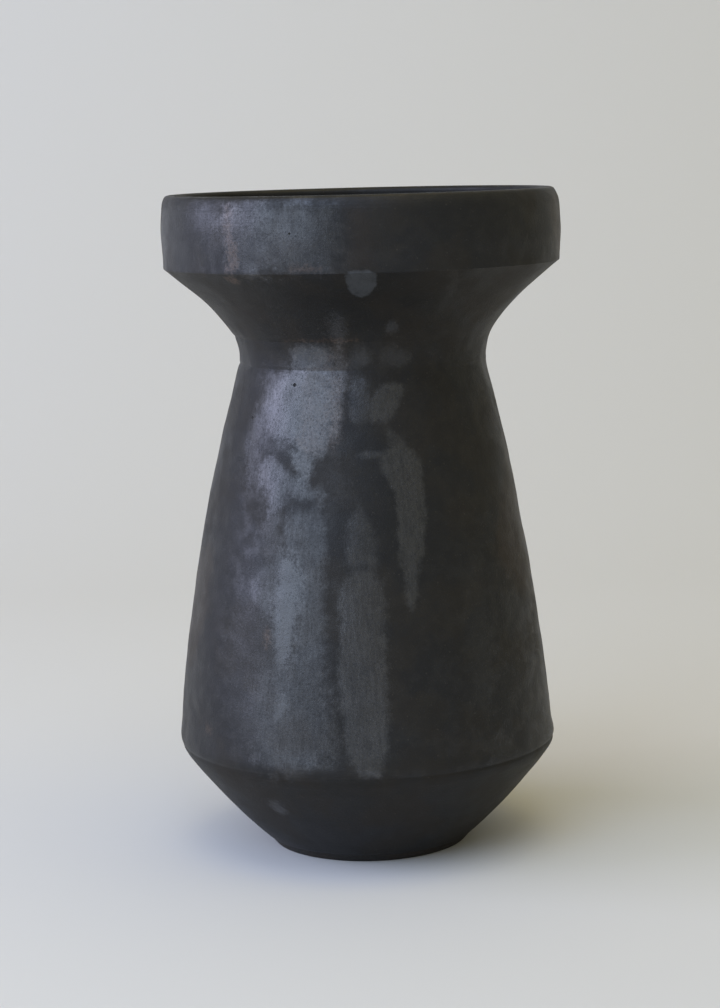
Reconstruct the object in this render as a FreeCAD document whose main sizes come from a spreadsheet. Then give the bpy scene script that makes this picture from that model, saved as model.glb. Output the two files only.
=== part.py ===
import FreeCAD, Part

import math
import os

import Sketcher
from FreeCAD import Vector

# Burnished black clay pot, built by hand from sections of leather-hard clay.
# A flat base disc carries a cone-shaped lower wall, a long tapering body wall,
# a narrow neck ring, a flared neck and an upright rim collar. Each section is
# cut at its edge to a V: the ridge of the lower edge is luted into the groove
# of the next one. Three soft coils are pressed into the inside corners.
#
# Millimetres and degrees, +Z up, axis of the pot on Z, underside on Z = 0.
# Radii are those of the outer surface unless the name says otherwise.
SIZES = [
    # base disc
    ("foot_radius", 50.8, "radius of the flat underside"),
    ("base_thickness", 8.0, "thickness of the base disc"),
    ("foot_lean", 42.0, "lean of the disc's cut edge from upright"),
    ("foot_round", 1.5, "rounding of the edge the pot stands on"),
    ("foot_joint_wall", 9.0, "wall across the joint of disc and lower wall"),
    ("foot_joint_tilt", 25.0, "rise of that joint towards the inside"),
    # lower wall
    ("lower_wall_height", 50.8, "from the foot joint to the belly joint"),
    ("lower_wall_curve", 280.0, "radius of the gentle swell of the lower wall"),
    ("lower_turn_height", 6.2, "depth below the belly joint where the wall turns up"),
    ("lower_turn_inset", 3.4, "how far inside the belly radius that turn begins"),
    ("lower_turn_round", 16.0, "radius of that turn"),
    # belly
    ("belly_radius", 97.8, "widest radius of the body"),
    ("belly_tuck", 0.4, "how far the belly joint lies inside the widest radius"),
    ("belly_joint_wall", 8.4, "wall across the belly joint"),
    ("belly_joint_tilt", 13.3, "rise of that joint towards the inside"),
    # body wall
    ("body_wall_height", 198.0, "from the belly joint to the waist joint"),
    ("body_roll_height", 5.5, "height of the rolled lower edge of the body wall"),
    ("body_roll_round", 18.0, "radius of that rolled edge"),
    ("body_wall_curve", 1120.0, "radius of the long swell of the body wall"),
    # waist and neck ring
    ("waist_radius", 63.4, "radius at the waist joint"),
    ("waist_joint_wall", 7.5, "wall across the waist joint"),
    ("waist_joint_tilt", -8.0, "rise of that joint towards the inside"),
    ("neck_ring_height", 14.0, "from the waist joint to the neck joint"),
    ("neck_ring_curve", 40.0, "radius of the hollow of the neck ring"),
    ("neck_ring_spread", 2.5, "how much wider the ring is at the neck joint"),
    ("neck_joint_wall", 7.5, "wall across the neck joint"),
    ("neck_joint_tilt", 27.0, "rise of that joint towards the inside"),
    # flared neck
    ("flared_neck_height", 35.3, "from the neck joint to the collar joint"),
    ("flared_neck_curve", 140.0, "radius of the hollow of the flared neck"),
    # rim collar
    ("collar_radius", 101.3, "radius at the shoulder of the collar"),
    ("collar_tuck", 0.3, "how far the collar's lower edge lies inside it"),
    ("collar_joint_wall", 7.6, "wall across the collar joint"),
    ("collar_joint_tilt", 31.0, "rise of that joint towards the inside"),
    ("collar_height", 37.7, "from the collar joint to the top of the lip"),
    ("collar_curve", 160.0, "radius of the barrel swell of the collar"),
    ("shoulder_drop", 7.0, "depth of the collar's shoulder below the lip"),
    ("shoulder_curve", 14.0, "radius of the shoulder's turn to the lip"),
    ("lip_inset", 4.0, "how far the top of the lip lies inside the shoulder"),
    ("lip_round", 2.6, "radius of the rounded lip"),
    ("lip_lean", 30.0, "angle on the lip where the shoulder runs out"),
    # joints and seam coils
    ("tongue", 2.0, "height of the V ridge in every joint"),
    ("coil_reach", 9.0, "how far a seam coil spreads from its corner"),
    ("coil_hollow", 40.0, "radius of the finger-pressed face of a seam coil"),
]

SWELL = 1  # a curve with its centre on the clay's side
HOLLOW = -1  # a curve with its centre on the air's side

# How the sketcher numbers its own axes and the points of an edge.
RADIUS_AXIS = -1
POT_AXIS = -2
ORIGIN = (RADIUS_AXIS, 1)
START, END, CENTRE = 1, 2, 3

TOUCH = 1e-6  # millimetres within which two places are the same
CUBIC_MM_PER_LITRE = 1e6

# Height of the outer edge of each joint above the one before it.
FOOT_RISE = "(Sizes.base_thickness - Sizes.foot_joint_wall * sin(Sizes.foot_joint_tilt))"
BELLY_LEVEL = f"{FOOT_RISE} + Sizes.lower_wall_height"
WAIST_LEVEL = f"{BELLY_LEVEL} + Sizes.body_wall_height"
NECK_LEVEL = f"{WAIST_LEVEL} + Sizes.neck_ring_height"
COLLAR_LEVEL = f"{NECK_LEVEL} + Sizes.flared_neck_height"

JOINT_RADIUS = {
    "foot": f"Sizes.foot_radius + {FOOT_RISE} * tan(Sizes.foot_lean)",
    "belly": "Sizes.belly_radius - Sizes.belly_tuck",
    "waist": "Sizes.waist_radius",
    "neck": "Sizes.waist_radius + Sizes.neck_ring_spread",
    "collar": "Sizes.collar_radius - Sizes.collar_tuck",
}

doc = FreeCAD.newDocument("ClayPot")


def writeSheet():
    """Write the driving sizes into the sheet that every outline follows."""
    sheet = doc.addObject("Spreadsheet::Sheet", "Sizes")
    for row, (alias, value, meaning) in enumerate(SIZES, start=1):
        sheet.set(f"A{row}", meaning)
        sheet.set(f"B{row}", str(value))
        sheet.setAlias(f"B{row}", alias)
    doc.recompute()


def joint(name, level="0"):
    """The outer edge, V ridge and inner edge of a luted joint, as sheet expressions."""
    radius = JOINT_RADIUS[name]
    wall = f"Sizes.{name}_joint_wall"
    tilt = f"Sizes.{name}_joint_tilt"
    outer = (radius, level)
    ridge = (
        f"{radius} - {wall} / 2 * cos({tilt}) + Sizes.tongue * sin({tilt})",
        f"{level} + {wall} / 2 * sin({tilt}) + Sizes.tongue * cos({tilt})",
    )
    inner = (f"{radius} - {wall} * cos({tilt})", f"{level} + {wall} * sin({tilt})")
    return outer, ridge, inner


def curveCentre(start, end, radius, way):
    """Centre of the shorter arc from start to end, on its left for SWELL, right for HOLLOW."""
    chord = end - start
    across = Vector(-chord.y, chord.x, 0).normalize()
    offset = math.sqrt(radius**2 - (chord.Length / 2) ** 2)
    return (start + end) * 0.5 + across * (way * offset)


class Section:
    """The wall section of one piece, drawn in its body's XZ plane and revolved about Z.

    Corners go round the clay anticlockwise: up the outside, down the inside.
    """

    def __init__(self, label, level):
        self.body = doc.addObject("PartDesign::Body", label)
        self.body.Label = label
        if level != "0":
            self.body.setExpression("Placement.Base.z", level)
        planes = [item for item in self.body.Origin.OriginFeatures if item.Role == "XZ_Plane"]
        self.sketch = self.body.newObject("Sketcher::SketchObject", label + "_section")
        self.sketch.AttachmentSupport = (planes[0], "")
        self.sketch.MapMode = "FlatFace"

    def number(self, expression):
        """Present value of a sheet expression."""
        value = self.sketch.evalExpression(expression)
        return float(getattr(value, "Value", value))

    def place(self, corner):
        """Present place of a corner given as (radius, height) expressions."""
        return Vector(self.number(corner[0]), self.number(corner[1]), 0)

    def bind(self, expression, kind, *where):
        """Add a constraint whose size follows an expression."""
        index = self.sketch.addConstraint(Sketcher.Constraint(kind, *where, self.number(expression)))
        self.sketch.setExpression(f"Constraints[{index}]", expression)

    def hold(self, edge, point, corner):
        """Hold a point of an edge at a corner's radius and height."""
        radius, height = corner
        for kind, axis, expression in (("DistanceX", POT_AXIS, radius), ("DistanceY", RADIUS_AXIS, height)):
            if expression == "0":
                self.sketch.addConstraint(Sketcher.Constraint("PointOnObject", edge, point, axis))
            else:
                self.bind(expression, kind, *ORIGIN, edge, point)

    def draw(self, start, end, curve=None, construction=False):
        """Draw a straight or curved edge; return its number and the points at its two ends."""
        if curve is None:
            return self.sketch.addGeometry(Part.LineSegment(start, end), construction), START, END
        radius, way = curve
        centre = curveCentre(start, end, radius, way)
        first, last = (start, end) if way == SWELL else (end, start)
        circle = Part.Circle(centre, Vector(0, 0, 1), radius)
        angles = [math.atan2(point.y - centre.y, point.x - centre.x) for point in (first, last)]
        edge = self.sketch.addGeometry(Part.ArcOfCircle(circle, *angles), construction)
        return (edge, START, END) if way == SWELL else (edge, END, START)

    def outline(self, corners, curves):
        """Draw the closed outline; curves maps a corner's number to the curve that leaves it."""
        edges = []
        for number, corner in enumerate(corners):
            start = self.place(corner)
            end = self.place(corners[(number + 1) % len(corners)])
            curve = curves.get(number)
            sized = curve and (self.number(curve[0]), curve[1])
            edge, first, last = self.draw(start, end, sized)
            self.hold(edge, first, corner)
            if curve:
                self.bind(curve[0], "Radius", edge)
            edges.append((edge, first, last))
        for number, (edge, first, _) in enumerate(edges):
            before, _, last = edges[number - 1]
            self.sketch.addConstraint(Sketcher.Constraint("Coincident", before, last, edge, first))

    def follow(self, corner, far, curve):
        """Draw the side of a seam coil that lies on a wall running from corner to far.

        Returns the edge, its point at the corner, its free point and the free point's place.
        """
        start = self.place(corner)
        end = self.place(far)
        reach = self.number("Sizes.coil_reach")
        sized = curve and (self.number(curve[0]), curve[1])
        wall, first, last = self.draw(start, end, sized, True)
        self.hold(wall, last, far)
        if curve:
            self.bind(curve[0], "Radius", wall)
            centre = curveCentre(start, end, *sized)
            turn = FreeCAD.Rotation(
                Vector(0, 0, 1), math.degrees(curve[1] * 2 * math.asin(reach / 2 / sized[0]))
            )
            free = centre + turn.multVec(start - centre)
        else:
            free = start + (end - start).normalize() * reach
        edge, near, tip = self.draw(start, free, sized)
        self.sketch.addConstraint(Sketcher.Constraint("Coincident", edge, near, wall, first))
        if curve:
            self.sketch.addConstraint(Sketcher.Constraint("Coincident", edge, CENTRE, wall, CENTRE))
        else:
            self.sketch.addConstraint(Sketcher.Constraint("PointOnObject", edge, tip, wall))
        self.bind("Sizes.coil_reach", "Distance", edge, near, edge, tip)
        return edge, near, tip, free

    def coil(self, corner, below, above):
        """Draw a seam coil in the inside corner between the walls below and above it."""
        low, lowNear, lowTip, lowPlace = self.follow(corner, *below)
        high, highNear, highTip, highPlace = self.follow(corner, *above)
        self.hold(low, lowNear, corner)
        hollow = self.number("Sizes.coil_hollow")
        face, faceHigh, faceLow = self.draw(highPlace, lowPlace, (hollow, HOLLOW))
        self.sketch.addConstraint(Sketcher.Constraint("Coincident", face, faceHigh, high, highTip))
        self.sketch.addConstraint(Sketcher.Constraint("Coincident", face, faceLow, low, lowTip))
        self.sketch.addConstraint(Sketcher.Constraint("Coincident", low, lowNear, high, highNear))
        self.bind("Sizes.coil_hollow", "Radius", face)

    def revolve(self):
        """Turn the finished section once round the pot's axis."""
        turned = self.body.newObject("PartDesign::Revolution", self.body.Name + "_turned")
        turned.Profile = self.sketch
        turned.ReferenceAxis = (self.sketch, ["V_Axis"])
        turned.Angle = 360
        self.sketch.Visibility = False
        self.body.Tip = turned
        doc.recompute()
        return turned


def baseDisc():
    """Flat round pat of clay; its cut edge leans outwards and carries the lower wall."""
    section = Section("base_disc", "0")
    outer, ridge, inner = joint("foot", FOOT_RISE)
    corners = [("0", "0"), ("Sizes.foot_radius", "0"), outer, ridge, inner, ("0", inner[1])]
    section.outline(corners, {})
    turned = section.revolve()
    footRadius = section.number("Sizes.foot_radius")
    standing = [
        f"Edge{number}"
        for number, edge in enumerate(turned.Shape.Edges, start=1)
        if edge.BoundBox.ZMax < TOUCH and abs(edge.BoundBox.XMax - footRadius) < TOUCH
    ]
    rounded = section.body.newObject("PartDesign::Fillet", "base_disc_rounded")
    rounded.Base = (turned, standing)
    rounded.setExpression("Radius", "Sizes.foot_round")
    section.body.Tip = rounded
    return section.body


def wallSection(label, level, foot, top, outside, inside):
    """A ring of wall between two joints.

    outside lists the corners up the outer face between the joints, each with the curve
    that leads to it; inside is the curve of the inner face.
    """
    section = Section(label, level)
    footOuter, footRidge, footInner = joint(*foot)
    topOuter, topRidge, topInner = joint(*top)
    corners = [footOuter]
    curves = {}
    for curve, corner in outside:
        curves[len(corners) - 1] = curve
        corners.append(corner or topOuter)
    corners += [topRidge, topInner, footInner, footRidge]
    curves[len(corners) - 3] = inside
    section.outline(corners, curves)
    section.revolve()
    return section.body


LOWER_INSIDE = "Sizes.lower_wall_curve - Sizes.belly_joint_wall"
BODY_INSIDE = "Sizes.body_wall_curve - Sizes.waist_joint_wall"
NECK_INSIDE = "Sizes.neck_ring_curve + Sizes.neck_joint_wall"
FLARE_INSIDE = "Sizes.flared_neck_curve + Sizes.neck_joint_wall"


def lowerWall():
    """Cone from the base disc out to the belly, turning up at its top edge."""
    turn = (
        "Sizes.belly_radius - Sizes.lower_turn_inset",
        "Sizes.lower_wall_height - Sizes.lower_turn_height",
    )
    outside = [
        (("Sizes.lower_wall_curve", SWELL), turn),
        (("Sizes.lower_turn_round", SWELL), None),
    ]
    top = ("belly", "Sizes.lower_wall_height")
    return wallSection("lower_wall", FOOT_RISE, ("foot",), top, outside, (LOWER_INSIDE, HOLLOW))


def bodyWall():
    """Long wall that tapers from the rolled belly edge up to the waist."""
    roll = ("Sizes.belly_radius", "Sizes.body_roll_height")
    outside = [
        (("Sizes.body_roll_round", SWELL), roll),
        (("Sizes.body_wall_curve", SWELL), None),
    ]
    top = ("waist", "Sizes.body_wall_height")
    return wallSection("body_wall", BELLY_LEVEL, ("belly",), top, outside, (BODY_INSIDE, HOLLOW))


def neckRing():
    """Short ring that closes the body wall and starts the neck."""
    outside = [(("Sizes.neck_ring_curve", HOLLOW), None)]
    top = ("neck", "Sizes.neck_ring_height")
    return wallSection("neck_ring", WAIST_LEVEL, ("waist",), top, outside, (NECK_INSIDE, SWELL))


def flaredNeck():
    """Funnel that opens from the neck ring to the rim collar."""
    outside = [(("Sizes.flared_neck_curve", HOLLOW), None)]
    top = ("collar", "Sizes.flared_neck_height")
    return wallSection("flared_neck", NECK_LEVEL, ("neck",), top, outside, (FLARE_INSIDE, SWELL))


def lipInside(level="0"):
    """Where the rounded lip runs out on the inner face of the collar."""
    return (
        "Sizes.collar_radius - Sizes.lip_inset - Sizes.lip_round",
        f"{level} + Sizes.collar_height - Sizes.lip_round",
    )


def rimCollar():
    """Upright barrel-shaped band with a rounded shoulder and lip."""
    section = Section("rim_collar", COLLAR_LEVEL)
    outer, ridge, inner = joint("collar")
    shoulder = ("Sizes.collar_radius", "Sizes.collar_height - Sizes.shoulder_drop")
    runOut = (
        "Sizes.collar_radius - Sizes.lip_inset + Sizes.lip_round * cos(Sizes.lip_lean)",
        "Sizes.collar_height - Sizes.lip_round + Sizes.lip_round * sin(Sizes.lip_lean)",
    )
    crest = ("Sizes.collar_radius - Sizes.lip_inset", "Sizes.collar_height")
    corners = [outer, shoulder, runOut, crest, lipInside(), inner, ridge]
    curves = {
        0: ("Sizes.collar_curve", SWELL),
        1: ("Sizes.shoulder_curve", SWELL),
        2: ("Sizes.lip_round", SWELL),
        3: ("Sizes.lip_round", SWELL),
    }
    section.outline(corners, curves)
    section.revolve()
    return section.body


def baseSeamCoil():
    """Coil pressed into the corner of the base disc and the lower wall."""
    section = Section("base_seam_coil", FOOT_RISE)
    corner = joint("foot")[2]
    floor = ("0", corner[1])
    wallTop = joint("belly", "Sizes.lower_wall_height")[2]
    section.coil(corner, (floor, None), (wallTop, (LOWER_INSIDE, SWELL)))
    section.revolve()
    return section.body


def bellySeamCoil():
    """Coil pressed into the corner of the lower wall and the body wall."""
    section = Section("belly_seam_coil", BELLY_LEVEL)
    corner = joint("belly")[2]
    wallFoot = joint("foot", "-Sizes.lower_wall_height")[2]
    wallTop = joint("waist", "Sizes.body_wall_height")[2]
    section.coil(corner, (wallFoot, (LOWER_INSIDE, HOLLOW)), (wallTop, (BODY_INSIDE, SWELL)))
    section.revolve()
    return section.body


def collarSeamCoil():
    """Coil pressed into the corner of the flared neck and the rim collar."""
    section = Section("collar_seam_coil", COLLAR_LEVEL)
    corner = joint("collar")[2]
    wallFoot = joint("neck", "-Sizes.flared_neck_height")[2]
    section.coil(corner, (wallFoot, (FLARE_INSIDE, SWELL)), (lipInside(), None))
    section.revolve()
    return section.body


def checkPieces(pieces):
    """Stop if any object failed, or any piece is not one sound solid."""
    for item in doc.Objects:
        if "Invalid" in item.State or "Error" in item.State:
            raise RuntimeError(f"{item.Label} failed: {item.State}")
        if item.TypeId == "Sketcher::SketchObject" and not item.FullyConstrained:
            raise RuntimeError(f"{item.Label} is not fully held")
    for piece in pieces:
        shape = piece.Shape
        if shape.isNull() or not shape.isValid() or len(shape.Solids) != 1:
            raise RuntimeError(f"{piece.Label} is not one sound solid")


def writePieces(pieces):
    """Write each piece to its own STEP file and print what it measures."""
    os.makedirs("parts", exist_ok=True)
    for piece in pieces:
        piece.Shape.exportStep(f"parts/{piece.Label}.step")
        box = piece.Shape.optimalBoundingBox()
        litres = piece.Shape.Volume / CUBIC_MM_PER_LITRE
        print(f"{piece.Label}: r {box.XMax:.2f}, z {box.ZMin:.2f} to {box.ZMax:.2f}, {litres:.4f} l")


writeSheet()
pieces = [
    baseDisc(),
    lowerWall(),
    bodyWall(),
    neckRing(),
    flaredNeck(),
    rimCollar(),
    baseSeamCoil(),
    bellySeamCoil(),
    collarSeamCoil(),
]
doc.recompute()
checkPieces(pieces)
writePieces(pieces)
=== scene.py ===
import math

import bpy
import numpy as np
from mathutils import Matrix, Vector


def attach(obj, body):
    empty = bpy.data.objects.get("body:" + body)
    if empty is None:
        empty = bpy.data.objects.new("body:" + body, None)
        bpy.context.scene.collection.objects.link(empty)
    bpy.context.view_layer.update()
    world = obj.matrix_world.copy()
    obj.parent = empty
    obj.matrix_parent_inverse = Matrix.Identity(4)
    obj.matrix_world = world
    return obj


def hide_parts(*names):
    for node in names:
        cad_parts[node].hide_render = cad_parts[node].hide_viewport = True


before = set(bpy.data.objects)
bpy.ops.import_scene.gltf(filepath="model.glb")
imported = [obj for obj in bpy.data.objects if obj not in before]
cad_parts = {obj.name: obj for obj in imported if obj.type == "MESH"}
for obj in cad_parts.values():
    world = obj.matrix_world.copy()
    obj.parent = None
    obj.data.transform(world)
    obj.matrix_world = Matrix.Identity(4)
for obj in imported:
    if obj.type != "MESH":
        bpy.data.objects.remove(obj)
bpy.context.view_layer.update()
print("clay pot: frame loaded")

# Lengths are in millimetres while the clay is shaped and become metres when a mesh is made.
# Angles go round the pot from the side seen first, which faces -Y, and + turns towards +X.
# They are degrees in the tables and radians where points are worked out.
mm = 0.001
tiny = 1e-6  # less than this counts as nothing

handwork = {
    "turnSteps": 500,  # faces round the pot
    "outerStep": 1.6,  # mm between rows on the outside
    "innerStep": 6.0,  # and on the inside
    "narrowFace": 8.0,  # a joint's face or a rounding narrower than this has its own step
    "narrowStep": 2.0,
    "seamReach": 4.0,  # this near to a seam the rows lie closer
    "seamStep": 0.5,
    "sharpTurn": 35.0,  # an edge that turns more than this is a cut edge
    "skinDepth": 3.0,  # grooves and smears fade out this deep in the wall
    "plainFoot": 14.0,  # the waves fade out below this height, so that the foot stands flat
    "plainFloor": (20.0, 40.0),  # and between these radii, so that the floor is plain
    "roundCentre": 60.0,  # inside this radius the pot grows rounder
    # the axis wanders a little: (height, shift towards +X, shift towards -Y)
    "lean": [(0, -0.8, 0.2), (50, -0.8, 0.3), (64, -1.5, 0.4), (110, -1.35, 0.2), (160, -0.7, 0.0),
             (215, 0.45, -0.2), (247, 1.0, -0.3), (260, 1.9, -0.3), (300, 2.35, 0.1), (332, 2.2, 0.3),
             (340, 1.7, 0.3)],
    # places pushed out from inside: (height, half height, swell, how much more of it towards +X)
    "swells": [(322, 20.0, 0.5, 0.0), (295, 8.0, 1.4, -0.4), (57, 5.0, 0.35, 0.0), (47, 9.0, 0.6, 0.0)],
    "outOfRound": [(2, 0.55, 35.0), (3, 0.3, 80.0), (5, 0.12, 10.0)],  # lobes, depth, angle
    "waves": {"count": 26, "depth": 0.16, "shortest": 26.0, "longest": 95.0, "seed": 11},
    "ripples": {"count": 40, "depth": 0.035, "shortest": 9.0, "longest": 24.0, "seed": 23},
    "waveRadius": 85.0,  # where the waves have the lengths above
    # how the level edges run up and down: (height, rise all round, towards +X, at the back)
    "levels": [(0, 0.0, 0.0, 0.0), (55, 0.1, -0.25, -0.7), (255, 0.0, 0.15, 0.0), (302, 0.1, -0.1, 0.0),
               (340, -0.8, -0.2, 0.1)],
    "levelRadius": 100.0,  # where they rise by that much
    # clay smeared into the seams: (height, reach, thickness, how much more of it towards +X)
    "smears": [(253, 2.2, 0.3, 0.3), (267, 2.2, 0.25, 0.25)],
}

# joints as they show outside: the groove's depth and width, and the angle where it is smeared shut
seams = [
    {"height": 4.2, "depth": 0.35, "width": 0.9, "fade": 0.5, "weakest": 120},
    {"height": 55.0, "depth": 0.6, "width": 1.1, "fade": 0.7, "weakest": -120},
    {"height": 253.0, "depth": 0.3, "width": 1.0, "fade": 0.95, "weakest": 60},
    {"height": 267.0, "depth": 0.3, "width": 1.0, "fade": 0.95, "weakest": 60},
    {"height": 302.3, "depth": 0.12, "width": 0.7, "fade": 0.5, "weakest": 80},
]


def smooth(value):
    value = np.clip(value, 0.0, 1.0)
    return value * value * (3.0 - 2.0 * value)


# eased reading of one column of a table whose first column is the height
def between(table, height, column):
    heights = [row[0] for row in table]
    values = [row[column] for row in table]
    place = np.clip(np.searchsorted(heights, height, side="right") - 1, 0, len(table) - 2)
    low = np.take(heights, place)
    high = np.take(heights, place + 1)
    share = smooth((height - low) / (high - low))
    return np.take(values, place) * (1 - share) + np.take(values, place + 1) * share


# sum of slow waves in random directions that close up round the pot
def waveField(angle, height, settings, size):
    draw = np.random.RandomState(settings["seed"])
    total = np.zeros_like(height)
    for _ in range(settings["count"]):
        length = settings["shortest"] * (settings["longest"] / settings["shortest"]) ** draw.rand()
        heading = draw.rand() * math.pi
        lobes = round(2 * math.pi * size * math.cos(heading) / length)
        climb = 2 * math.pi * math.sin(heading) / length
        phase = draw.rand() * 2 * math.pi
        total += np.cos(lobes * angle + climb * height + phase)
    return total * math.sqrt(2.0 / settings["count"]) * settings["depth"]


outsideProfile = []  # (height, radius) of the whole pot's outer face, filled from the frame


def outsideRadius(height):
    return np.interp(height, [row[0] for row in outsideProfile], [row[1] for row in outsideProfile])


# 1 on the outer face, falling to 0 inside the wall
def skinShare(radius, height):
    return np.clip(1.0 - (outsideRadius(height) - radius) / handwork["skinDepth"], 0.0, 1.0)


# how far the clay is pushed out or in at a point of the turned shape
def swellAt(angle, radius, height):
    shape = handwork
    swell = waveField(angle, height, shape["waves"], shape["waveRadius"])
    swell += waveField(angle, height, shape["ripples"], shape["waveRadius"])
    flat, wavy = shape["plainFloor"]
    swell *= smooth(height / shape["plainFoot"]) * smooth((radius - flat) / (wavy - flat))
    for lobes, depth, turn in shape["outOfRound"]:
        swell += depth * np.cos(lobes * (angle - math.radians(turn))) * smooth(radius / shape["roundCentre"])
    skin = skinShare(radius, height)
    for middle, half, out, aside in shape["swells"]:
        away = (height - middle) / half
        swell += (out + aside * np.sin(angle)) * np.exp(-away * away)
    for middle, reach, thickness, aside in shape["smears"]:
        swell += skin * (thickness + aside * np.sin(angle)) * np.exp(-np.abs(height - middle) / reach)
    for seam in seams:
        away = (height - seam["height"]) / seam["width"]
        strength = 1.0 - seam["fade"] * (0.5 + 0.5 * np.cos(angle - math.radians(seam["weakest"])))
        swell -= skin * seam["depth"] * strength * np.exp(-away * away)
    return swell


# place of a point of the turned shape after the hand has been at it
def handFormed(angle, radius, height):
    lean = handwork["lean"]
    levels = handwork["levels"]
    girth = radius + swellAt(angle, radius, height)
    across = girth * np.sin(angle) + between(lean, height, 1)
    front = -girth * np.cos(angle) - between(lean, height, 2)
    lift = between(levels, height, 1)
    lift += between(levels, height, 2) * np.sin(angle) * radius / handwork["levelRadius"]
    lift += between(levels, height, 3) * -np.cos(angle) * radius / handwork["levelRadius"]
    return np.stack([across, front, height + lift], axis=-1)


# outline of a CAD node in the half plane y = 0, x > 0, going up the outside and down the inside
def sectionOf(node):
    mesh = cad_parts[node].data
    found = {}
    for vertex in mesh.vertices:
        if abs(vertex.co.y) < tiny and vertex.co.x > -tiny:
            found[vertex.index] = (round(vertex.co.x / mm, 3), round(vertex.co.z / mm, 3))
    beside = {}
    for edge in mesh.edges:
        first, second = (found.get(index) for index in edge.vertices)
        if first and second and first != second:
            beside.setdefault(first, set()).add(second)
            beside.setdefault(second, set()).add(first)
    ends = sorted((point for point in beside if len(beside[point]) == 1), key=lambda point: point[1])
    walk = [ends[0] if ends else min(beside, key=lambda point: (point[1], -point[0]))]
    while True:
        onward = [point for point in sorted(beside[walk[-1]]) if point not in walk]
        if not onward:
            break
        walk.append(onward[0])
    if ends:  # a disc: close it through the axis
        walk = [(0.0, walk[0][1])] + walk + [(0.0, walk[-1][1])]
    area = sum(a[0] * b[1] - b[0] * a[1] for a, b in zip(walk, walk[1:] + walk[:1]))
    return walk if area > 0 else walk[::-1]


def turnAt(before, point, after):
    first = math.atan2(point[1] - before[1], point[0] - before[0])
    second = math.atan2(after[1] - point[1], after[0] - point[0])
    return abs(math.degrees((second - first + math.pi) % (2 * math.pi) - math.pi))


# the outline as runs between its cut edges
def splitAtCorners(outline):
    count = len(outline)
    corners = []
    for number in range(count):
        turn = turnAt(outline[number - 1], outline[number], outline[(number + 1) % count])
        if turn > handwork["sharpTurn"]:
            corners.append(number)
    runs = []
    for first, last in zip(corners, corners[1:] + [corners[0] + count]):
        runs.append([outline[number % count] for number in range(first, last + 1)])
    return runs


longStraight = 5.0  # a chord longer than this stays straight ...
muchLonger = 3.0  # ... beside one that is this many times shorter


# direction of the smooth curve at every point of a run
def slopesAlong(points, knots):
    slopes = []
    last = len(points) - 1
    for number in range(len(points)):
        low = max(number - 1, 0)
        high = min(number + 1, last)
        if 0 < number < last:
            lead = (points[number] - points[low]) / (knots[number] - knots[low])
            trail = (points[high] - points[number]) / (knots[high] - knots[number])
            share = (knots[number] - knots[low]) / (knots[high] - knots[low])
            slopes.append(lead * (1 - share) + trail * share)
        else:
            slopes.append((points[high] - points[low]) / (knots[high] - knots[low]))
    for number in range(1, last):
        before = knots[number] - knots[number - 1]
        after = knots[number + 1] - knots[number]
        if max(before, after) > longStraight and max(before, after) > muchLonger * min(before, after):
            low = number - 1 if before > after else number
            slopes[number] = (points[low + 1] - points[low]) / (knots[low + 1] - knots[low])
    if last > 1:  # let the ends follow the curve instead of its last chord
        slopes[0] = slopes[0] * 2 - slopes[1]
        slopes[-1] = slopes[-1] * 2 - slopes[-2]
    return slopes


# points along a smooth curve through a run, no further apart than step
def eased(run, step):
    points = [Vector(point).to_2d() for point in run]
    knots = [0.0]
    for first, second in zip(points, points[1:]):
        knots.append(knots[-1] + max((second - first).length, tiny))
    slopes = slopesAlong(points, knots)
    placed = []
    for number in range(len(points) - 1):
        span = knots[number + 1] - knots[number]
        pieces = max(1, math.ceil(span / step))
        if len(points) > 2 and step / 2 < span < step:  # a curve shows no flat chords
            pieces = 2
        for part in range(pieces):
            t = part / pieces
            placed.append(
                points[number] * (2 * t**3 - 3 * t**2 + 1)
                + slopes[number] * span * (t**3 - 2 * t**2 + t)
                + points[number + 1] * (3 * t**2 - 2 * t**3)
                + slopes[number + 1] * span * (t**3 - t**2)
            )
    return placed


# extra points close to both ends of a run, where the seams lie
def finerAtEnds(run, reach, step):
    points = []
    for number, point in enumerate(run[:-1]):
        following = run[number + 1]
        points.append(point)
        near = min((point - run[0]).length, (following - run[-1]).length)
        if near < reach:
            parts = max(1, math.ceil((following - point).length / step))
            points += [point.lerp(following, part / parts) for part in range(1, parts)]
    return points


leastClimb = 2.0  # a run up the outside climbs by more than this ...
leastRadius = 40.0  # ... and lies further out than this
curvePoints = 12  # a rounded run, such as the one over the lip, has more points than this


# rows of the lathe: (radius, height, is a cut edge, is outside)
def rowsOf(node):
    shape = handwork
    rows = []
    for run in splitAtCorners(sectionOf(node)):
        climb = run[-1][1] - run[0][1]
        length = sum(math.dist(a, b) for a, b in zip(run, run[1:]))
        upTheOutside = climb > leastClimb and run[0][0] > leastRadius
        roundTheEdge = len(run) > curvePoints and climb > -length / 2
        isSkin = upTheOutside or roundTheEdge
        step = shape["outerStep"] if isSkin else shape["innerStep"]
        if length < shape["narrowFace"]:
            step = shape["narrowStep"]
        points = eased(run, step)
        if isSkin:
            points.append(Vector(run[-1]).to_2d())
            points = finerAtEnds(points, shape["seamReach"], shape["seamStep"])
        for number, point in enumerate(points):
            rows.append((point.x, point.y, number == 0, isSkin))
    return rows


def fillOutsideProfile():
    for node in ("base_disc", "lower_wall", "body_wall", "neck_ring", "flared_neck", "rim_collar"):
        skin = [row for row in rowsOf(node) if row[3]]
        top = max(skin, key=lambda row: row[1])
        upTo = skin[: skin.index(top) + 1]
        outsideProfile.extend((row[1], row[0]) for row in upTo)
    outsideProfile.sort()


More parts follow.
